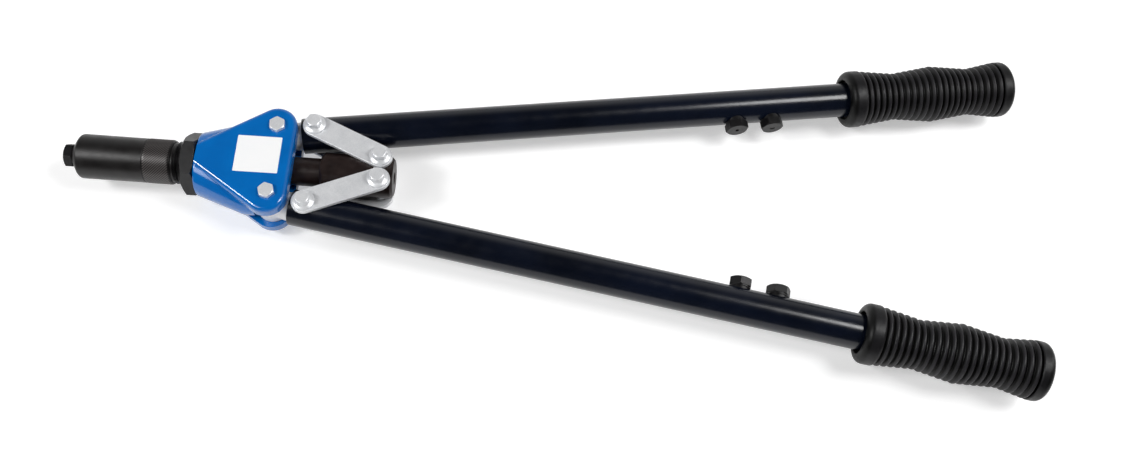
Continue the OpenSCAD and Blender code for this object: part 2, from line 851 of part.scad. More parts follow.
module arm_grip(side) {
    ribs = [for (i = [0:grip_ribs - 1]) each rib_points(i)];
    recess = 3.5;
    color("#1b1b1c")
        arm_frame(side)
            translate([grip_s, 0, 0])
                difference() {
                    x_turned(concat(
                        [[0, 0]],
                        collar_points(),
                        ribs,
                        dome_points(),
                        [[0, grip_l]]
                    ));
                    x_rod(-over, grip_l - grip_end_t, tube_d + 2 * fit);
                    x_rod(-over, recess, tube_d + 4);
                }
}

body_casting();
lock_nut();
nose_sleeve();
nosepiece_fitted();
pivot_bolts();
pivot_nuts();
draw_bar();
jaw_case();
case_lock_nut();
jaw(0);  // jaw_upper
jaw(120);  // jaw_left
jaw(240);  // jaw_right
jaw_pusher();
pusher_spring();
rear_link_bolts();
rear_link_nuts();
arm_lever(1);  // upper_lever
arm_tube(1);  // upper_tube
arm_grip(1);  // upper_grip
nosepiece_seats(1);  // upper_nosepiece_seats
spare_nosepiece(1, 0, upper_front_hole_d);  // upper_front_nosepiece
spare_nosepiece(1, 1, upper_rear_hole_d);  // upper_rear_nosepiece
front_link_bolt(1);  // upper_link_bolt
front_link_nut(1);  // upper_link_nut
arm_lever(-1);  // lower_lever
arm_tube(-1);  // lower_tube
arm_grip(-1);  // lower_grip
nosepiece_seats(-1);  // lower_nosepiece_seats
spare_nosepiece(-1, 0, lower_front_hole_d);  // lower_front_nosepiece
spare_nosepiece(-1, 1, lower_rear_hole_d);  // lower_rear_nosepiece
front_link_bolt(-1);  // lower_link_bolt
front_link_nut(-1);  // lower_link_nut
link_strap(1, 1);  // upper_link_top
link_strap(1, -1);  // upper_link_bottom
link_strap(-1, 1);  // lower_link_top
link_strap(-1, -1);  // lower_link_bottom
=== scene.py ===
# Long arm riveter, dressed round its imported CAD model.
# Metres throughout: +X runs from the nose to the handles, +Z towards the bolt heads.
import math

import bmesh
import bpy
from mathutils import Matrix, Quaternion, Vector


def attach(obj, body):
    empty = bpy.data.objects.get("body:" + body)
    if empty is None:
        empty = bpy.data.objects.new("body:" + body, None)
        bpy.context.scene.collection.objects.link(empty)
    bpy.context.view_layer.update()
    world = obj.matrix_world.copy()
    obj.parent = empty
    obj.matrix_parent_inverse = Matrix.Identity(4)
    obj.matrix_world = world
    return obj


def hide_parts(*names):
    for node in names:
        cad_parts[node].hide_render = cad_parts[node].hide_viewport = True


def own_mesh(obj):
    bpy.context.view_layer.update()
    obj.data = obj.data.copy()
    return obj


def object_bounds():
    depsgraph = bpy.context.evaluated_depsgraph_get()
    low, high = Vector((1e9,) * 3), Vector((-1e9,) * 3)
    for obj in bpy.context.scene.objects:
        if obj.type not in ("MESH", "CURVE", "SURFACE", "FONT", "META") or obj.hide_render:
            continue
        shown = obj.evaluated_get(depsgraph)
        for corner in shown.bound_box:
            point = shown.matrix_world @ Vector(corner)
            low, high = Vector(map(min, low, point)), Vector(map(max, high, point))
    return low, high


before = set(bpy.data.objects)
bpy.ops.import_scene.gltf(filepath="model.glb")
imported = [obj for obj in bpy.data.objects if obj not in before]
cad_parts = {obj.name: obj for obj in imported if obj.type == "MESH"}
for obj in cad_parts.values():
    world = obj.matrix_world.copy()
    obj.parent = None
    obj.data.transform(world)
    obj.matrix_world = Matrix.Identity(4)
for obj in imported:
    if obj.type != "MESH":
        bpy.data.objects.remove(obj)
cad_box = [list(corner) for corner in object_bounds()]

# Camera
# The photograph looks down on the tool from in front of its lower arm, through a lens near 32 mm,
# with the camera turned a little so that the arms rise to the right.
eye = Vector((0.27234, -0.26633, 0.57080))
aim = Vector((0.30640, -0.02698, 0))
camera_roll = math.radians(11.4)
bpy.ops.object.camera_add(location=eye)
camera = bpy.context.object
camera.name = "photo_camera"
camera.data.lens = 32.01
camera.data.clip_start = 0.01
facing = (aim - eye).to_track_quat("-Z", "Y") @ Quaternion((0, 0, 1), camera_roll)
camera.rotation_euler = facing.to_euler()
bpy.context.scene.camera = camera
bpy.context.scene.view_settings.view_transform = "Standard"

# Floor and light
# A white sweep under the tool, a sky that is pale low down behind it and dark overhead, and five
# soft boxes, placed so that the glossy tubes carry a thin streak of light near the grips.
MM = 0.001


class Wire:
    """What comes out of a node; sums and products of wires add Math nodes."""

    def __init__(self, socket):
        self.socket = socket

    def maths(self, operation, *values):
        node = self.socket.id_data.nodes.new("ShaderNodeMath")
        node.operation = operation
        for entry, value in zip(node.inputs, values):
            feed(entry, value)
        return Wire(node.outputs[0])

    def __add__(self, other):
        return self.maths("ADD", self, other)

    def __mul__(self, other):
        return self.maths("MULTIPLY", self, other)

    __radd__ = __add__
    __rmul__ = __mul__

    def ramp(self, low, high, start=0, end=1):
        """Runs from start to end while this wire runs from low to high, and stays there outside."""
        node = self.socket.id_data.nodes.new("ShaderNodeMapRange")
        for entry, value in zip(node.inputs, (self, low, high, start, end)):
            feed(entry, value)
        return Wire(node.outputs[0])


def feed(entry, value):
    """Links a wire to a socket, or sets the socket to a plain value."""
    if isinstance(value, Wire):
        entry.id_data.links.new(value.socket, entry)
    else:
        entry.default_value = value


class Nodes:
    """The node tree of a material or of the world."""

    def __init__(self, owner):
        owner.use_nodes = True
        self.owner = owner
        self.tree = owner.node_tree

    def add(self, kind, settings=(), inputs=(), output=0):
        node = self.tree.nodes.new(kind)
        for name, value in dict(settings).items():
            setattr(node, name, value)
        for name, value in dict(inputs).items():
            feed(node.inputs[name], value)
        return Wire(node.outputs[output])


def shade(red, green, blue):
    """A colour as a screen shows it, from 0 to 255, as the shader wants it."""
    return (*((part / 255) ** 2.2 for part in (red, green, blue)), 1)


def mirror_ray(nodes):
    """1 for the rays that show a background: to the camera, in a gloss or through glass."""
    seen = 0
    for kind in ("Is Camera Ray", "Is Glossy Ray", "Is Transmission Ray"):
        seen = nodes.add("ShaderNodeLightPath", output=kind) + seen
    return seen


floor_glow, straight_glow = 0.26, 0.14
floor_z = cad_box[0][2] - 0.1 * MM
bpy.ops.mesh.primitive_plane_add(size=8, location=(0.3, 0, floor_z))
floor = bpy.context.object
floor.name = "floor"
sweep = Nodes(bpy.data.materials.new("white_sweep"))
floor_shader = sweep.tree.nodes["Principled BSDF"]
floor_shader.inputs["Base Color"].default_value = (0.8, 0.8, 0.8, 1)
floor_shader.inputs["Roughness"].default_value = 0.9
floor_shader.inputs["Specular IOR Level"].default_value = 0.1
floor_shader.inputs["Emission Color"].default_value = (1, 1, 1, 1)
seen_floor = sweep.add("ShaderNodeLightPath", output="Is Camera Ray") * straight_glow
feed(floor_shader.inputs["Emission Strength"], seen_floor + mirror_ray(sweep) * floor_glow)
floor.data.materials.append(sweep.owner)

front_glow, back_glow, overhead_glow = 0.04, 0.66, 0.12
world = bpy.data.worlds.new("studio")
bpy.context.scene.world = world
studio = Nodes(world)
straight = studio.add("ShaderNodeLightPath", output="Is Camera Ray")
sky = studio.add("ShaderNodeTexCoord", output="Generated")
away = studio.add("ShaderNodeSeparateXYZ", (), {0: sky}, "Y")
up = studio.add("ShaderNodeSeparateXYZ", (), {0: sky}, "Z")
wall = away.ramp(0, 1, front_glow, back_glow) * up.ramp(0.45, 0.85, 1, overhead_glow)
glow = straight.maths("MAXIMUM", straight, wall)
feed(studio.tree.nodes["Background"].inputs["Strength"], glow)
studio.tree.nodes["Background"].inputs["Color"].default_value = (1, 1, 1, 1)


def soft_box(name, place, target, size, power, mirrored=True):
    """A round lamp, in metres and watts, aimed at a target; an unmirrored one shows in no gloss."""
    bpy.ops.object.light_add(type="AREA", location=place)
    lamp = bpy.context.object
    lamp.name = name
    lamp.data.shape = "DISK"
    lamp.data.size = size
    lamp.data.energy = power
    lamp.visible_glossy = mirrored
    lamp.rotation_euler = (Vector(target) - Vector(place)).to_track_quat("-Z", "Y").to_euler()


soft_box("nose_side_light", (-0.70, -0.18, 1.02), (0.1, 0, 0), 0.30, 6.8)
soft_box("nose_top_light", (-0.52, -0.42, 1.10), (0.05, 0, 0), 0.45, 2.6)
soft_box("handle_top_light", (1.00, 0.0, 1.20), (0.45, 0, 0), 0.50, 8.2)
soft_box("handle_end_light", (1.50, 0.20, 0.75), (0.35, 0, 0), 0.60, 4.6)
soft_box("low_side_light", (0.02, -0.95, 0.35), (0.15, 0, 0), 0.70, 2.7, mirrored=False)

# Body casting
# A cast head: a barrel with round sides for the sleeve, between two cheeks that run back to a lobe
# over each arm pivot, with a slot milled behind it, all coated in a thick gloss blue enamel.
body_x, pivot_x, pivot_y = 79.8, 125.6, 22.05
body_t, slot_t, pocket_r, lobe_r, cheek_nose_r = 33.2, 17, 12.2, 12.1, 8.5
cheek_nose_x, lobe_x, lobe_y, cheek_edge = body_x + 4.2, pivot_x - 0.8, 22.6, 3
barrel_front_y, barrel_rear_y, barrel_rear_r, barrel_edge = 3.6, 18.4, 12, 1.4
tail_r, rod_r, pivot_bolt_r = 13.03, 8.8, 3
snug, running = 0.03, 0.06


def nothing_selected():
    bpy.ops.object.select_all(action="DESELECT")


def take(piece):
    """Makes a piece the only selected one, and the active one."""
    nothing_selected()
    piece.select_set(True)
    bpy.context.view_layer.objects.active = piece


def in_place(piece):
    """Puts a piece's own place and turn into its mesh."""
    take(piece)
    bpy.ops.object.transform_apply(location=True, rotation=True, scale=True)
    return piece


def bar(start, end, radius, end_radius=None, sides=96, turn=0):
    """A round or many-sided bar or cone between two points, in millimetres."""
    start, end = Vector(start) * MM, Vector(end) * MM
    facing = (end - start).to_track_quat("Z", "Y") @ Quaternion((0, 0, 1), math.radians(turn))
    nothing_selected()
    bpy.ops.mesh.primitive_cone_add(
        vertices=sides,
        radius1=radius * MM,
        radius2=(radius if end_radius is None else end_radius) * MM,
        depth=(end - start).length,
        location=(start + end) / 2,
        rotation=facing.to_euler(),
    )
    return in_place(bpy.context.object)


def block(low, high):
    """A box between two corners, in millimetres."""
    low, high = Vector(low) * MM, Vector(high) * MM
    nothing_selected()
    bpy.ops.mesh.primitive_cube_add(size=1, location=(low + high) / 2, scale=high - low)
    return in_place(bpy.context.object)


def modify(piece, kind, **settings):
    """Adds a modifier to a piece and applies it."""
    take(piece)
    modifier = piece.modifiers.new(kind, kind)
    for name, value in settings.items():
        setattr(modifier, name, value)
    bpy.ops.object.modifier_apply(modifier=modifier.name)
    return piece


def combine(piece, operation, *others):
    """Cuts the others out of a piece, adds them to it, or keeps what they share."""
    for other in others:
        modify(piece, "BOOLEAN", operation=operation, solver="EXACT", object=other)
        bpy.data.objects.remove(other)
    return piece


def soften(piece, width, angle=40, segments=2):
    """Rounds every edge sharper than the angle, over a width in millimetres."""
    return modify(
        piece,
        "BEVEL",
        width=width * MM,
        segments=segments,
        limit_method="ANGLE",
        angle_limit=math.radians(angle),
        use_clamp_overlap=True,
        harden_normals=False,
    )


def merge_pieces(pieces):
    """Joins several pieces into one."""
    take(pieces[0])
    for piece in pieces:
        piece.select_set(True)
    bpy.ops.object.join()
    return bpy.context.object


class Finish(Nodes):
    """A surface finish on the object's own coordinates, in metres."""

    def __init__(self, name):
        super().__init__(bpy.data.materials.new(name))
        self.shader = self.tree.nodes["Principled BSDF"]
        self.place = self.add("ShaderNodeTexCoord", output="Object")

    def stretched(self, x, y, z):
        """The object's place, multiplied along each axis."""
        return self.add("ShaderNodeMapping", {}, {"Vector": self.place, "Scale": (x, y, z)})

    def noise(self, scale, detail=2, place=None):
        return self.add(
            "ShaderNodeTexNoise",
            {},
            {"Vector": place or self.place, "Scale": scale, "Detail": detail},
        )

    def mix(self, amount, below, above):
        return self.add("ShaderNodeMix", {"data_type": "RGBA"}, {0: amount, 6: below, 7: above}, 2)

    def bump(self, height, depth):
        """Raises the surface by up to a depth in millimetres."""
        values = {"Height": height, "Distance": depth * MM, "Strength": 1}
        return self.add("ShaderNodeBump", {}, values)

    def surface(self, **values):
        for name, value in values.items():
            feed(self.shader.inputs[name.replace("_", " ")], value)


def fit(piece, name, finish, slot, body, *nodes):
    """Names a finished piece, smooths it, coats it and hangs it on its body of the frame."""
    take(piece)
    piece.name = name
    piece.data.materials.clear()
    piece.data.materials.append(finish.owner)
    bpy.ops.object.shade_smooth_by_angle(angle=math.radians(32))
    modify(piece, "WEIGHTED_NORMAL", keep_sharp=True)
    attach(piece, body)
    if nodes:
        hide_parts(*nodes)


def soft_rim(piece, axis, level, width):
    """Rounds the rim of a piece's flat end that lies at a level on an axis, in edit mode."""
    take(piece)
    bpy.ops.object.mode_set(mode="EDIT")
    bpy.ops.mesh.select_mode(type="FACE")
    bpy.ops.mesh.select_all(action="DESELECT")
    mesh = bmesh.from_edit_mesh(piece.data)
    for face in mesh.faces:
        face.select_set(abs(face.calc_center_median()[axis] - level * MM) < 0.01 * MM)
    bmesh.update_edit_mesh(piece.data)
    bpy.ops.mesh.bevel(offset=width * MM, segments=8, affect="EDGES")
    bpy.ops.object.mode_set(mode="OBJECT")
    return piece


def wrapped(pieces):
    """One skin stretched round several pieces."""
    skin = merge_pieces(pieces)
    bpy.ops.object.mode_set(mode="EDIT")
    bpy.ops.mesh.select_all(action="SELECT")
    bpy.ops.mesh.convex_hull()
    bpy.ops.mesh.select_all(action="SELECT")
    bpy.ops.mesh.remove_doubles(threshold=0.01 * MM)
    bpy.ops.mesh.dissolve_limited(angle_limit=math.radians(0.2))
    bpy.ops.object.mode_set(mode="OBJECT")
    return skin


half_slot = slot_t / 2
front_bars = [
    bar((body_x, y, 0), (body_x + 2.4, y, 0), body_t / 2 - 0.2)
    for y in (barrel_front_y, -barrel_front_y)
]
rear_bars = [
    bar((pivot_x - 15.8, y, 0), (pivot_x - 8.8, y, 0), barrel_rear_r)
    for y in (barrel_rear_y, -barrel_rear_y)
]
barrel = wrapped([*(soft_rim(piece, 0, body_x, barrel_edge) for piece in front_bars), *rear_bars])
slot = wrapped([
    bar((pivot_x, y, -half_slot), (pivot_x, y, half_slot), pocket_r) for y in (pivot_y, -pivot_y)
])
combine(barrel, "DIFFERENCE", slot)
corners = (
    (cheek_nose_x, 0, cheek_nose_r),
    (lobe_x, lobe_y, lobe_r),
    (lobe_x, -lobe_y, lobe_r),
)
casting = wrapped([
    modify(
        bar((x, y, -body_t / 2), (x, y, body_t / 2), r),
        "BEVEL",
        width=cheek_edge * MM,
        segments=8,
    )
    for x, y, r in corners
])
# A hair less than the slot, so that cheeks and barrel share no plane where they join.
gap = half_slot - 0.02
combine(
    casting,
    "DIFFERENCE",
    block((body_x - 9, -50, -20), (body_x + 0.6, 50, 20)),
    block((body_x - 9, -50, -gap), (pivot_x + 30, 50, gap)),
)
combine(casting, "UNION", barrel)
combine(
    casting,
    "DIFFERENCE",
    bar((body_x - 1, 0, 0), (body_x + 17, 0, 0), tail_r),
    bar((body_x, 0, 0), (pivot_x + 24, 0, 0), rod_r + running),
    *(bar((pivot_x, y, -18), (pivot_x, y, 18), pivot_bolt_r) for y in (pivot_y, -pivot_y)),
)
soften(casting, 0.6, 35, 3)

blue_enamel = Finish("blue_enamel")
tone = blue_enamel.noise(60, 3).ramp(0.35, 0.65)
orange_peel = blue_enamel.noise(420, 1) * 0.7 + blue_enamel.noise(1300, 1) * 0.3
blue_enamel.surface(
    Base_Color=blue_enamel.mix(tone, shade(0, 101, 179), shade(1, 107, 187)),
    Roughness=blue_enamel.noise(500).ramp(0.3, 0.7, 0.15, 0.21),
    Normal=blue_enamel.bump(orange_peel, 0.004),
    Coat_Weight=0.5,
    Coat_Roughness=0.08,
)
fit(casting, "body_enamelled", blue_enamel, "blue_paint", "head", "body_casting")

# Label
# A square of white glossy film with rounded corners, stuck to the casting's upper face between
# the two pivot bolts and left bare.
label_low, label_high = (103.8, -10.25, 16.58), (130.0, 13.65, 16.7)
label_turn, label_corner_r = 0.5, 0.5
label = block(label_low, label_high)
take(label)
bpy.ops.object.origin_set(type="ORIGIN_GEOMETRY", center="MEDIAN")
label.rotation_euler.z = math.radians(label_turn)
in_place(label)
bpy.ops.object.mode_set(mode="EDIT")
bpy.ops.mesh.select_mode(type="EDGE")
bpy.ops.mesh.select_all(action="DESELECT")
film = bmesh.from_edit_mesh(label.data)
for edge in film.edges:
    edge.select_set(abs((edge.verts[0].co - edge.verts[1].co).normalized().z) > 0.9)
bmesh.update_edit_mesh(label.data)
bpy.ops.mesh.bevel(offset=label_corner_r * MM, segments=4, affect="EDGES")
bpy.ops.object.mode_set(mode="OBJECT")
white_film = Finish("white_film")
film_tone = white_film.noise(90, 2).ramp(0.3, 0.7)
white_film.surface(
    Base_Color=white_film.mix(film_tone, shade(252, 253, 254), shade(255, 255, 255)),
    Roughness=0.3,
)
fit(label, "blank_label", white_film, "blue_paint", "head")

# Lock nut
# A turned and milled hexagon of blackened steel with a long cone on its front, run up against
# the casting to lock the sleeve's thread.
nut_x, nut_h, nut_across, nut_turn = 70, 9.8, 34, 42.5
nut_cone, nut_front_r, tail_crest_r = 3.5, 14, 13


def lathe(outline, steps=96):
    """Draws an outline of (station, radius) points in millimetres and spins it round the X axis."""
    nothing_selected()
    first = outline[0]
    bpy.ops.mesh.primitive_plane_add(size=MM, location=(0, 0, 0))
    piece = bpy.context.object
    bpy.ops.object.mode_set(mode="EDIT")
    bpy.ops.mesh.select_mode(type="VERT")
    bpy.ops.mesh.select_all(action="SELECT")
    bpy.ops.mesh.merge(type="CENTER")
    bpy.ops.transform.translate(value=(first[0] * MM, 0, first[1] * MM))
    for here, there in zip(outline, outline[1:]):
        step = ((there[0] - here[0]) * MM, 0, (there[1] - here[1]) * MM)
        bpy.ops.mesh.extrude_region_move(TRANSFORM_OT_translate={"value": step})
    bpy.ops.mesh.select_all(action="SELECT")
    bpy.ops.mesh.spin(steps=steps, angle=math.tau, center=(0, 0, 0), axis=(1, 0, 0))
    bpy.ops.mesh.select_all(action="SELECT")
    bpy.ops.mesh.remove_doubles(threshold=0.004 * MM)
    bpy.ops.mesh.normals_make_consistent(inside=False)
    bpy.ops.object.mode_set(mode="OBJECT")
    return piece


def corner_radius(across):
    """From the middle of a hexagon to its corners, for its width across the flats."""
    return across / 2 / math.cos(math.radians(30))


def hexagon(across, start, end, turn, edge=0.15):
    """A hexagonal bar along X or Z whose first corner stands at the turn, its edges just broken."""
    return soften(bar(start, end, corner_radius(across), sides=6, turn=turn), edge, 40)


nut_corner_r = corner_radius(nut_across)
nut_rise = (nut_corner_r - nut_front_r) / nut_cone
lock_nut = combine(
    hexagon(nut_across, (nut_x, 0, 0), (nut_x + nut_h, 0, 0), nut_turn, 0.25),
    "INTERSECT",
    lathe([
        (nut_x - 1, 0),
        (nut_x - 1, nut_front_r - nut_rise),
        (nut_x + (nut_corner_r + 1 - nut_front_r) / nut_rise, nut_corner_r + 1),
        (nut_x + nut_h - 1.5, nut_corner_r + 1),
        (nut_x + nut_h + 1, nut_corner_r - 4),
        (nut_x + nut_h + 1, 0),
    ]),
)
combine(
    lock_nut,
    "DIFFERENCE",
    bar((nut_x - 1, 0, 0), (nut_x + nut_h + 1, 0, 0), tail_crest_r + snug),
)
soften(lock_nut, 0.2, 24)

black_oxide = Finish("black_oxide")
blotches = black_oxide.noise(180, 3).ramp(0.35, 0.7)
tool_marks = black_oxide.noise(1, 2, black_oxide.stretched(9000, 260, 260))
black_oxide.surface(
    Base_Color=black_oxide.mix(blotches, shade(15, 14, 16), shade(22, 21, 23)),
    Metallic=0.2,
    Roughness=black_oxide.noise(300).ramp(0.3, 0.7, 0.34, 0.44),
    Normal=black_oxide.bump(tool_marks, 0.006),
)
fit(lock_nut, "lock_nut_black", black_oxide, "black_oxide", "head", "lock_nut")

# Nose sleeve
# A long tube turned from bar: a cone at the tip, a plain barrel, a diamond knurl for the hand,
# a relief groove, and the fine thread that screws through the lock nut into the casting.
sleeve_x, sleeve_end_x, knurl_x, thread_x, tail_end_x = 5, 64.6, 48.6, 65.8, 96.3
sleeve_r, bore_r, root_r, neck_bore_r = 13.5, 11.3, 12.25, 5.03
tip_wall, thread_pitch, knurl_teeth, knurl_h = 7, 1.5, 54, 0.4
sleeve = lathe([
    (sleeve_x, neck_bore_r),
    (sleeve_x, 6.4),
    (sleeve_x + 0.3, 6.8),
    (sleeve_x + 4.0, sleeve_r - 1.0),
    (sleeve_x + 4.7, sleeve_r - 0.3),
    (sleeve_x + 5.6, sleeve_r),
    (knurl_x - 0.5, sleeve_r),
    (knurl_x - 0.1, sleeve_r - 0.4),
    (sleeve_end_x - 0.2, sleeve_r - 0.4),
    (sleeve_end_x, sleeve_r - 0.6),
    (sleeve_end_x, root_r),
    (nut_x - 0.4, root_r),
    (nut_x, tail_crest_r),
    (tail_end_x - 0.6, tail_crest_r),
    (tail_end_x, tail_crest_r - 0.6),
    (tail_end_x, bore_r),
    (sleeve_x + tip_wall, bore_r),
    (sleeve_x + tip_wall, neck_bore_r),
    (sleeve_x, neck_bore_r),
])


def diamond_knurl(start, end, radius, teeth, height):
    """A band round X whose corners stand up and down in turn, as a knurling tool leaves them."""
    columns = 2 * teeth
    pitch = math.pi * radius / teeth
    rows = round((end - start) / pitch)
    pitch = (end - start) / rows
    inside = radius - 0.3
    crest = [(start + row * pitch, radius) for row in range(rows + 1)]
    band = lathe([(start, inside), *crest, (end, inside), (start, inside)], columns)
    take(band)
    bpy.ops.object.mode_set(mode="EDIT")
    bpy.ops.mesh.select_mode(type="VERT")
    bpy.ops.mesh.select_all(action="DESELECT")
    mesh = bmesh.from_edit_mesh(band.data)
    for corner in mesh.verts:
        row = (corner.co.x / MM - start) / pitch
        column = math.atan2(corner.co.y, corner.co.z) / math.tau * columns
        on_crest = corner.co.yz.length > (radius - 0.1) * MM and 0.5 < row < rows - 0.5
        corner.select_set(on_crest and (round(row) + round(column)) % 2 == 0)
    bmesh.update_edit_mesh(band.data)
    bpy.ops.transform.shrink_fatten(value=height * MM)
    bpy.ops.object.mode_set(mode="OBJECT")
    return band


def thread(start, end, crest_r, pitch):
    """One thread ridge wound round X, closed at both ends."""
    nothing_selected()
    bpy.ops.mesh.primitive_circle_add(
        vertices=4,
        radius=0.5 * pitch * MM,
        location=(start * MM, 0, (crest_r - 0.5 * pitch) * MM),
        rotation=(math.pi / 2, 0, 0),
    )
    ridge = in_place(bpy.context.object)
    turns = (end - start) / pitch
    modify(
        ridge,
        "SCREW",
        axis="X",
        angle=math.tau * turns,
        screw_offset=(end - start) * MM,
        steps=round(48 * turns),
        render_steps=round(48 * turns),
        use_merge_vertices=True,
    )
    bpy.ops.object.mode_set(mode="EDIT")
    bpy.ops.mesh.select_all(action="SELECT")
    bpy.ops.mesh.fill_holes(sides=4)
    bpy.ops.mesh.normals_make_consistent(inside=False)
    bpy.ops.object.mode_set(mode="OBJECT")
    return ridge


turned_black = Finish("turned_black")
wear = turned_black.noise(140, 3).ramp(0.35, 0.7)
lathe_marks = turned_black.noise(1, 2, turned_black.stretched(6500, 60, 60))
turned_black.surface(
    Base_Color=turned_black.mix(wear, shade(22, 20, 20), shade(30, 28, 28)),
    Metallic=0.2,
    Roughness=turned_black.noise(260).ramp(0.3, 0.7, 0.34, 0.44),
    Coat_Weight=0.1,
    Coat_Roughness=0.3,
    Normal=turned_black.bump(lathe_marks, 0.008),
)
fit(sleeve, "sleeve_barrel", turned_black, "black_oxide", "head", "nose_sleeve")
knurl = diamond_knurl(knurl_x, sleeve_end_x - 0.4, sleeve_r - 0.26, knurl_teeth, knurl_h)
knurled_black = Finish("knurled_black")
off_axis = knurled_black.add(
    "ShaderNodeVectorMath",
    {"operation": "MULTIPLY"},
    {0: knurled_black.place, 1: (0, 1, 1)},
)
height = knurled_black.add("ShaderNodeVectorMath", {"operation": "LENGTH"}, {0: off_axis}, "Value")
# Painted light: the knurl's crests are painted light, partly wear and partly a painted highlight
# from the facets, and its valleys are painted dark as painted shade.
crest_highlight_and_wear = height.ramp((sleeve_r - 0.2) * MM, (sleeve_r + 0.1) * MM)
knurled_black.surface(
    Base_Color=knurled_black.mix(crest_highlight_and_wear, shade(20, 18, 18), shade(92, 88, 87)),
    Metallic=0.3,
    Roughness=0.36,
)
fit(knurl, "sleeve_knurl", knurled_black, "black_oxide", "head")
tail_thread = thread(thread_x + 0.6, nut_x + 0.2, tail_crest_r, thread_pitch)
fit(tail_thread, "sleeve_thread", black_oxide, "black_oxide", "head")

# Nosepieces
# Hexagon headed plugs turned from hex bar and blackened, each drilled for one rivet size. One sits
# in the tip of the sleeve and four are screwed into seats on the arms.
neck_r, neck_l, nosepiece_across, nosepiece_h = 5, 8.8, 13, 5
fitted_hole_r, fitted_turn = 2.1, 30


def hex_head(across, low, high, turn, crown=0.97):
    """A hexagon stood on Z from one height to another, the top corners turned off by a cone."""
    lower, upper = sorted((low, high))
    # The cone climbs at 30 degrees: sqrt(3) outwards for each 1 down from the top.
    top_r, rise = across / 2 * crown, math.sqrt(3)
    tall = upper - lower
    foot, tip = (low - 1, high + 1) if high > low else (low + 1, high - 1)
    cone = bar((0, 0, foot), (0, 0, tip), top_r + (tall + 1) * rise, top_r - rise)
    lean = turn - 30 if high > low else 30 - turn
    head = hexagon(across, (0, 0, low), (0, 0, high), lean)
    return soften(combine(head, "INTERSECT", cone), 0.1, 20)


def nosepiece_blank():
    """Tip at the origin, neck along +X."""
    head = hex_head(nosepiece_across, nosepiece_h, 0, 0)
    take(head)
    head.rotation_euler.y = math.pi / 2
    in_place(head)
    end = nosepiece_h + neck_l
    neck = lathe([
        (nosepiece_h - 0.5, 0),
        (nosepiece_h - 0.5, 5.9),
        (nosepiece_h + 0.35, 5.9),
        (nosepiece_h + 0.5, 5.6),
        (nosepiece_h + 0.5, neck_r - 0.55),
        (end - 2.5, neck_r - 0.55),
        (end, neck_r * 0.7),
        (end, 0),
    ], 64)
    ridge = thread(nosepiece_h + 1.0, end - 2.2, neck_r, 1.0)
    return combine(head, "UNION", neck, ridge)


def drilled(blank, hole_r):
    """A copy of the blank with its own mandrel hole."""
    take(blank)
    bpy.ops.object.duplicate()
    piece = bpy.context.object
    end = nosepiece_h + neck_l
    hole = bar((-1, 0, 0), (end + 1, 0, 0), hole_r, sides=48)
    countersink = bar((-0.4, 0, 0), (0.4, 0, 0), hole_r + 0.7, hole_r - 0.1, sides=48)
    return combine(piece, "DIFFERENCE", hole, countersink)


blank = nosepiece_blank()
fitted = drilled(blank, fitted_hole_r)
fitted.rotation_euler.x = math.radians(fitted_turn)
in_place(fitted)
fit(fitted, "nosepiece_in_use", black_oxide, "black_oxide", "head", "nosepiece_fitted")

# Pivot bolts
# Two zinc plated hexagon bolts through both cheeks, the pins that the arms swing on, with a nut
# beneath each.
pivot_head_h, pivot_nut_h, pivot_across, pivot_nut_across, past_nut = 2.6, 5, 8.6, 10, 1.2
zinc_plate = Finish("zinc_plate")
grain = zinc_plate.noise(1500, 2)
cloud = zinc_plate.noise(150, 3).ramp(0.3, 0.7) * 0.5 + grain.ramp(0.35, 0.65) * 0.5
zinc_plate.surface(
    Base_Color=zinc_plate.mix(cloud, shade(224, 226, 229), shade(243, 244, 246)),
    Metallic=0.36,
    Roughness=zinc_plate.noise(420).ramp(0.3, 0.7, 0.3, 0.42),
    Normal=zinc_plate.bump(grain, 0.004),
)


def shank(radius, low, high):
    """A bolt's shank on Z with its thread at the lower end and a chamfered tip."""
    core = bar((0, 0, low + 0.5), (0, 0, high), radius, sides=48)
    tip = bar((0, 0, low), (0, 0, low + 0.5), radius - 0.6, radius, sides=48)
    return combine(core, "UNION", tip)


def bored(nut, radius):
    """Cuts a nut's hole along Z."""
    return combine(nut, "DIFFERENCE", bar((0, 0, -60), (0, 0, 60), radius, sides=48))


def stood_at(piece, x, y):
    """Moves a piece that was made on Z to a station on the tool's plane, in millimetres."""
    piece.location = Vector((x, y, 0)) * MM
    return in_place(piece)


bolts, nuts = [], []
top = body_t / 2
for y, turn in ((pivot_y, 96), (-pivot_y, 106.5)):
    bolt = combine(
        hex_head(pivot_across, top, top + pivot_head_h, turn),
        "UNION",
        shank(pivot_bolt_r - snug, -top - pivot_nut_h - past_nut, top + 1),
    )
    nut = bored(hex_head(pivot_nut_across, -top, -top - pivot_nut_h, 15), pivot_bolt_r)
    bolts.append(stood_at(bolt, pivot_x, y))
    nuts.append(stood_at(nut, pivot_x, y))
fit(merge_pieces(bolts), "pivot_bolts_plated", zinc_plate, "zinc", "head", "pivot_bolts")
fit(merge_pieces(nuts), "pivot_nuts_plated", zinc_plate, "zinc", "head", "pivot_nuts")

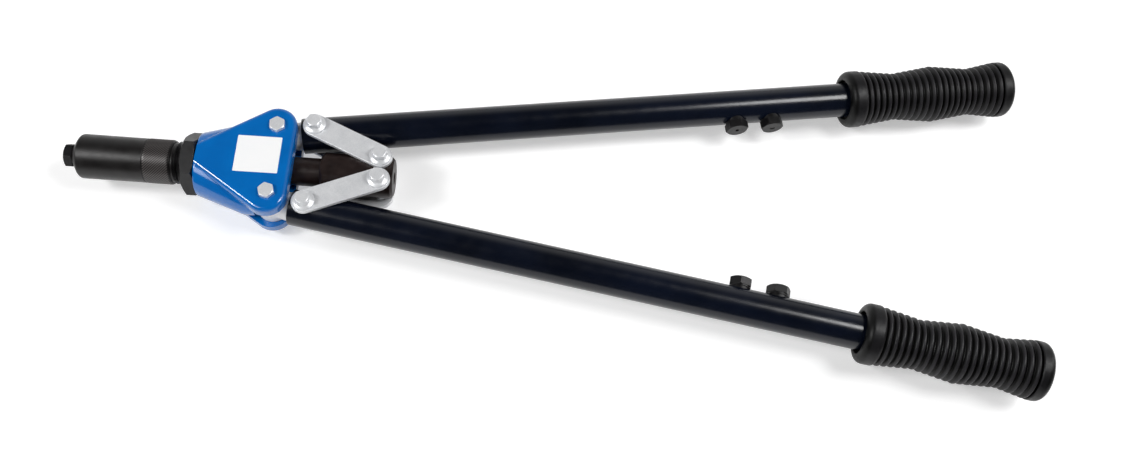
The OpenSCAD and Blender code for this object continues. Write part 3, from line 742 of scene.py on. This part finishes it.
# Draw bar
# A dark brown steel bar: a round rod that runs in the casting, and a thicker crosshead with a flat
# above and below for the straps, bored through for the spent mandrels.
rod_x, cross_x, cross_end_x, cross_r, cross_flat, passage_r = 42.6, 153.167, 197.167, 12.7, 11, 3.5
spring_end_x, spring_pocket_r = 55.1, 7.8
rear_bolt_x, rear_bolt_y, link_bolt_r = 188.967, 7.5, 3
draw_bar = lathe([
    (rod_x, spring_pocket_r),
    (rod_x, rod_r),
    (cross_x, rod_r),
    (cross_x, cross_r - 1.9),
    (cross_x + 0.3, cross_r - 1.6),
    (cross_x + 1.6, cross_r - 0.3),
    (cross_x + 2.0, cross_r),
    (cross_end_x - 1.8, cross_r),
    (cross_end_x - 1.5, cross_r - 0.1),
    (cross_end_x - 0.2, cross_r - 1.5),
    (cross_end_x, cross_r - 1.8),
    (cross_end_x, passage_r + 0.5),
    (cross_end_x - 0.5, passage_r),
    (spring_end_x, passage_r),
    (spring_end_x, spring_pocket_r),
    (rod_x, spring_pocket_r),
])
combine(
    draw_bar,
    "DIFFERENCE",
    block((cross_x - 1, -20, cross_flat), (cross_end_x + 1, 20, 20)),
    block((cross_x - 1, -20, -20), (cross_end_x + 1, 20, -cross_flat)),
)
soften(draw_bar, 0.45, 26)
combine(
    draw_bar,
    "DIFFERENCE",
    *(
        bar((rear_bolt_x, y, -20), (rear_bolt_x, y, 20), link_bolt_r + snug, sides=48)
        for y in (rear_bolt_y, -rear_bolt_y)
    ),
)
brown_steel = Finish("brown_steel")
scale_marks = brown_steel.noise(120, 4).ramp(0.3, 0.75)
turning_marks = brown_steel.noise(1, 2, brown_steel.stretched(5200, 120, 120))
brown_steel.surface(
    Base_Color=brown_steel.mix(scale_marks, shade(34, 26, 25), shade(50, 40, 38)),
    Metallic=0.3,
    Roughness=brown_steel.noise(350).ramp(0.3, 0.7, 0.3, 0.42),
    Normal=brown_steel.bump(turning_marks, 0.006),
)
fit(draw_bar, "draw_bar_brown", brown_steel, "dark_bar", "puller", "draw_bar")

# Jaw set
# Inside the sleeve: a ground steel case with a cone, a lock nut behind it, three toothed jaws,
# the pusher that holds them forward, and its coil spring.
def coat(node, finish):
    """Gives a CAD piece that stays in sight its finish."""
    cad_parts[node].data.materials.clear()
    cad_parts[node].data.materials.append(finish.owner)


ground_steel = Finish("ground_steel")
ground_tone = ground_steel.noise(200, 2)
ground_steel.surface(
    Base_Color=ground_steel.mix(ground_tone, shade(120, 121, 124), shade(150, 151, 154)),
    Metallic=0.85,
    Roughness=0.3,
)
for node in ("jaw_case", "jaw_upper", "jaw_left", "jaw_right", "jaw_pusher"):
    coat(node, ground_steel)
coat("case_lock_nut", black_oxide)

spring_x, spring_l, spring_wire, spring_r, spring_gap, coils = 39.1, 16, 1.4, 6.8, 0.05, 6
nothing_selected()
bpy.ops.mesh.primitive_circle_add(
    vertices=12,
    radius=spring_wire / 2 * MM,
    location=((spring_x + spring_wire / 2 + spring_gap) * MM, 0, spring_r * MM),
    rotation=(math.pi / 2, 0, 0),
)
spring = in_place(bpy.context.object)
modify(
    spring,
    "SCREW",
    axis="X",
    angle=math.tau * coils,
    screw_offset=(spring_l - spring_wire - 2 * spring_gap) * MM,
    steps=36 * coils,
    render_steps=36 * coils,
)
bpy.ops.object.mode_set(mode="EDIT")
bpy.ops.mesh.select_all(action="SELECT")
bpy.ops.mesh.fill_holes(sides=12)
bpy.ops.mesh.normals_make_consistent(inside=False)
bpy.ops.object.mode_set(mode="OBJECT")
spring_steel = Finish("spring_steel")
spring_tone = spring_steel.noise(300, 2)
spring_steel.surface(
    Base_Color=spring_steel.mix(spring_tone, shade(150, 152, 156), shade(176, 178, 181)),
    Metallic=0.9,
    Roughness=0.25,
)
fit(spring, "coil_spring", spring_steel, "plain_steel", "puller", "pusher_spring")
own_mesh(spring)

# Levers
# A forged and blasted lever in each arm: an eye that turns between the cheeks, a flattened neck,
# and a round shank driven into the tube.
arm_a, link_lead = math.radians(9.2), 22
lever_t, eye_r, shank_r, tube_start, shank_l = 16.4, 9.2, 8.97, 13, 42


def on_arm(piece, side, turned_over=False):
    """Carries a piece modelled along X from the pivot out to the upper (1) or lower (-1) arm."""
    over = Matrix.Rotation(math.pi, 4, "X") if turned_over else Matrix.Identity(4)
    pivot = Vector((pivot_x, side * pivot_y, 0)) * MM
    piece.matrix_world = Matrix.Translation(pivot) @ Matrix.Rotation(side * arm_a, 4, "Z") @ over
    return in_place(piece)


def own_copy(piece):
    take(piece)
    bpy.ops.object.duplicate()
    return bpy.context.object


eye_disc = bar((0, 0, -lever_t / 2), (0, 0, lever_t / 2), eye_r)
neck_bar = combine(
    bar((0, 0, 0), (tube_start + 1, 0, 0), eye_r - 1.2, shank_r),
    "INTERSECT",
    block((-1, -20, -lever_t / 2), (tube_start + 2, 20, lever_t / 2)),
)
lever_shank = bar((tube_start, 0, 0), (tube_start + shank_l, 0, 0), shank_r)
lever = combine(eye_disc, "UNION", neck_bar, lever_shank)
combine(
    lever,
    "DIFFERENCE",
    bar((0, 0, -20), (0, 0, 20), pivot_bolt_r + running, sides=64),
    bar((link_lead, 0, -20), (link_lead, 0, 20), link_bolt_r + snug, sides=64),
)
soften(lever, 0.5, 40, 3)
blasted_silver = Finish("blasted_silver")
silver_tone = blasted_silver.noise(110, 3)
blast = blasted_silver.noise(1500, 3)
blasted_silver.surface(
    Base_Color=blasted_silver.mix(silver_tone, shade(226, 226, 228), shade(238, 238, 240)),
    Metallic=0.25,
    Roughness=0.45,
    Normal=blasted_silver.bump(blast, 0.02),
)
for name, side in (("upper", 1), ("lower", -1)):
    fit(
        on_arm(own_copy(lever), side),
        f"{name}_lever_forged",
        blasted_silver,
        "lever_steel",
        f"{name}_arm",
        f"{name}_lever",
    )

# Tubes
# Two lengths of drawn steel tube, cut square and coated in a smooth gloss navy black, with the
# threaded seats for the spare nosepieces let into their inner sides.
navy_gloss = Finish("navy_gloss")
navy_tone = navy_gloss.noise(25, 2).ramp(0.35, 0.65)
ripple = navy_gloss.noise(220, 1)
navy_gloss.surface(
    Base_Color=navy_gloss.mix(navy_tone, shade(14, 18, 27), shade(19, 24, 36)),
    Roughness=navy_gloss.noise(160, 2).ramp(0.3, 0.7, 0.2, 0.27),
    Normal=navy_gloss.bump(ripple, 0.012),
    Specular_IOR_Level=0.4,
    Coat_Weight=0.15,
    Coat_Roughness=0.12,
)
for name in ("upper", "lower"):
    coat(f"{name}_tube", navy_gloss)
    coat(f"{name}_nosepiece_seats", black_oxide)

# Spare nosepieces
# Four more of the nosepieces, screwed neck first into the seats with their heads towards the
# other arm.
spare_s, spare_pitch, spare_face = 288, 23.5, 17
for name, side, holes in (("upper", 1, (1.05, 1.55)), ("lower", -1, (1.35, 1.8))):
    for i, (place, hole_r) in enumerate(zip(("front", "rear"), holes)):
        spare = drilled(blank, hole_r)
        inwards = Matrix.Rotation(math.pi / 2, 4, "Z")
        turn = Matrix.Rotation(math.radians(10 + 20 * i), 4, "X")
        station = Vector((spare_s + i * spare_pitch, -spare_face, 0)) * MM
        spare.matrix_world = Matrix.Translation(station) @ inwards @ turn
        in_place(spare)
        fit(
            on_arm(spare, side, side < 0),
            f"{name}_{place}_spare",
            black_oxide,
            "black_oxide",
            f"{name}_arm",
            f"{name}_{place}_nosepiece",
        )
bpy.data.objects.remove(blank)

# Grips
# Moulded black rubber sleeves pushed over the tubes: a rounded collar, 22 ribs that run through
# two waists, and a plain closed end.
arm_l, grip_l, collar_l, cap_l, ribs = 476, 113, 11.3, 8.4, 22
waist_r, swell, groove, collar_r = 15.3, 3.1, 1.9, 18.5
tube_bore_r, tube_end, mouth_s, mouth_r = 11.03, 105, 3.5, 13
front_round, back_round, plain_depth = 4.5, 2.25, 0.25
front_waist, rear_waist = 0.305 * grip_l, 0.761 * grip_l
rib_pitch = (grip_l - collar_l - cap_l) / ribs


def grip_radius(s):
    """Over the ribs: least at the two waists, and flaring a little faster behind the rear one."""
    slope = 2 * swell / (rear_waist - front_waist)
    from_waist = min(abs(s - front_waist), abs(s - rear_waist))
    return waist_r + slope * max(from_waist, 1.3 * (s - rear_waist))


def arc(middle_s, middle_r, radius, start, end, steps):
    """Points of a quarter turn; the angles run from the +s direction towards +r."""
    angles = [math.radians(start + (end - start) * i / steps) for i in range(steps + 1)]
    return [(middle_s + radius * math.cos(a), middle_r + radius * math.sin(a)) for a in angles]


outline = [(mouth_s, tube_bore_r), (mouth_s, mouth_r), (0.4, mouth_r), (0, mouth_r + 0.6)]
outline += arc(front_round, collar_r - front_round, front_round, 180, 90, 8)
outline += arc(collar_l - back_round, collar_r - back_round, back_round, 90, 0, 5)
for i in range(ribs):
    s, r = collar_l + i * rib_pitch, grip_radius(collar_l + (i + 0.5) * rib_pitch)
    for along, down in (
        (0.03, 1.0), (0.1, 0.93), (0.19, 0.6), (0.3, 0.25), (0.41, 0.05), (0.53, 0.0),
        (0.65, 0.05), (0.76, 0.25), (0.87, 0.6), (0.96, 0.93),
    ):
        outline.append((s + along * rib_pitch, r - down * groove))
cap_r = grip_radius(grip_l - cap_l)
outline += [(grip_l - cap_l + 0.2, cap_r - 0.4), (grip_l - cap_l + 0.8, cap_r)]
outline += arc(grip_l - cap_l / 2, cap_r - cap_l / 2, cap_l / 2, 90, 0, 8)
outline += [(grip_l, 0), (tube_end, 0), (tube_end, tube_bore_r), (mouth_s, tube_bore_r)]
grip = lathe(outline, 112)
grip.location.x = (arm_l - grip_l) * MM
in_place(grip)
# rib_depth drives the painted sheen on the crests and the painted shade in the grooves; the plain
# collar and cap get a set depth and take part of that sheen.
depth = grip.data.attributes.new("rib_depth", "FLOAT", "POINT")
for corner in grip.data.vertices:
    s = corner.co.x / MM - (arm_l - grip_l)
    below_crest = (grip_radius(s) - corner.co.yz.length / MM) / groove
    plain = s < collar_l or s > grip_l - cap_l
    depth.data[corner.index].value = max(below_crest, plain_depth) if plain else below_crest
moulded_rubber = Finish("moulded_rubber")
below = moulded_rubber.add("ShaderNodeAttribute", {"attribute_name": "rib_depth"}, {}, "Fac")
# Painted light: the rib crests are painted lighter as a painted sheen from overhead light, flecked
# with dust, and the grooves are painted black as painted shade.
crest_sheen_and_dust = below.ramp(0.0, 0.42, 1, 0) * moulded_rubber.noise(70, 4).ramp(0.3, 0.75, 0.8, 1)
pebble = moulded_rubber.noise(2400, 2)
moulded_rubber.surface(
    Base_Color=moulded_rubber.mix(crest_sheen_and_dust, shade(2, 2, 2), shade(40, 39, 42)),
    Roughness=moulded_rubber.noise(400).ramp(0.3, 0.7, 0.38, 0.48),
    Specular_IOR_Level=0.3,
    Normal=moulded_rubber.bump(pebble, 0.02),
)
for name, side in (("upper", 1), ("lower", -1)):
    fit(
        on_arm(own_copy(grip), side),
        f"{name}_grip_moulded",
        moulded_rubber,
        "grip_rubber",
        f"{name}_arm",
        f"{name}_grip",
    )

# Link straps
# Four flat steel straps with round ends, punched and zinc plated, above and below the levers and
# the crosshead, that turn the swing of the arms into the pull of the draw bar.
link_l, link_w, link_t, link_a, link_play = 45.4, 14.6, 3, math.radians(23.45), 0.9
strap_z = 11.3
nothing_selected()
bpy.ops.mesh.primitive_cylinder_add(vertices=96, radius=link_w / 2 * MM, depth=link_t * MM)
strap = bpy.context.object
bpy.ops.object.mode_set(mode="EDIT")
bpy.ops.mesh.select_mode(type="VERT")
bpy.ops.mesh.select_all(action="DESELECT")
strap_mesh = bmesh.from_edit_mesh(strap.data)
for corner in strap_mesh.verts:
    corner.select_set(corner.co.x > 0.001 * MM)
bmesh.update_edit_mesh(strap.data)
bpy.ops.transform.translate(value=(link_l * MM, 0, 0))
bpy.ops.object.mode_set(mode="OBJECT")
soften(strap, 0.45, 50, 3)
combine(
    strap,
    "DIFFERENCE",
    bar((0, 0, -5), (0, 0, 5), link_bolt_r + running, sides=48),
    bar((link_l, 0, -5), (link_l, 0, 5), link_bolt_r + link_play, sides=48),
)
for name, side in (("upper", 1), ("lower", -1)):
    for level, up in (("top", 1), ("bottom", -1)):
        place = Vector((rear_bolt_x, side * rear_bolt_y, up * (strap_z + link_t / 2))) * MM
        forwards = Matrix.Rotation(side * (math.pi - link_a), 4, "Z")
        plate = own_copy(strap)
        plate.matrix_world = Matrix.Translation(place) @ forwards
        fit(
            in_place(plate),
            f"{name}_strap_{level}",
            zinc_plate,
            "zinc",
            f"{name}_link",
            f"{name}_link_{level}",
        )

# Link bolts and nuts
# Forged flange bolts, zinc plated, that pass down through a strap, the tube or the crosshead and
# the strap below, with flange nuts beneath.
flange_z, flange_r, flange_t, link_across, link_hex_h = 14.4, 6.5, 1.6, 8, 4.6
hex_top = flange_z + flange_t + link_hex_h


def upright(piece):
    """Stands a piece that was turned round X up on Z."""
    piece.rotation_euler.y = -math.pi / 2
    return in_place(piece)


def flange(level):
    """The round flange under a hex head, sloped and rounded as it is forged."""
    low = level * flange_z
    return upright(lathe([
        (low, 0),
        (low, flange_r - 0.3),
        (low + level * 0.25, flange_r),
        (low + level * 0.7, flange_r),
        (low + level * 1.05, flange_r - 0.35),
        (low + level * 1.5, flange_r - 1.5),
        (low + level * 1.9, flange_r - 2.1),
        (low + level * 2.4, flange_r - 2.6),
        (low + level * 2.4, 0),
    ], 72))


def link_bolt(turn):
    head = hex_head(link_across, flange_z + 0.5, hex_top, turn, 0.94)
    stem = shank(link_bolt_r - snug, -hex_top - past_nut, flange_z + 1)
    return combine(head, "UNION", flange(1), stem)


def link_nut(turn):
    head = hex_head(link_across + 1, -flange_z - 0.5, -hex_top, turn)
    return bored(combine(head, "UNION", flange(-1)), link_bolt_r)


rear_bolts, rear_nuts = [], []
for y, turn in ((rear_bolt_y, 8), (-rear_bolt_y, -4)):
    for pieces, piece in ((rear_bolts, link_bolt(turn)), (rear_nuts, link_nut(12))):
        pieces.append(stood_at(piece, rear_bolt_x, y))
fit(merge_pieces(rear_bolts), "rear_bolts_plated", zinc_plate, "zinc", "puller", "rear_link_bolts")
fit(merge_pieces(rear_nuts), "rear_nuts_plated", zinc_plate, "zinc", "puller", "rear_link_nuts")
for name, side, turn in (("upper", 1, -3), ("lower", -1, -26)):
    for kind, piece in (("bolt", link_bolt(turn)), ("nut", link_nut(side * 25))):
        fit(
            on_arm(stood_at(piece, link_lead, 0), side),
            f"{name}_{kind}_plated",
            zinc_plate,
            "zinc",
            f"{name}_arm",
            f"{name}_link_{kind}",
        )
for pattern in (lever, grip, strap):
    bpy.data.objects.remove(pattern)
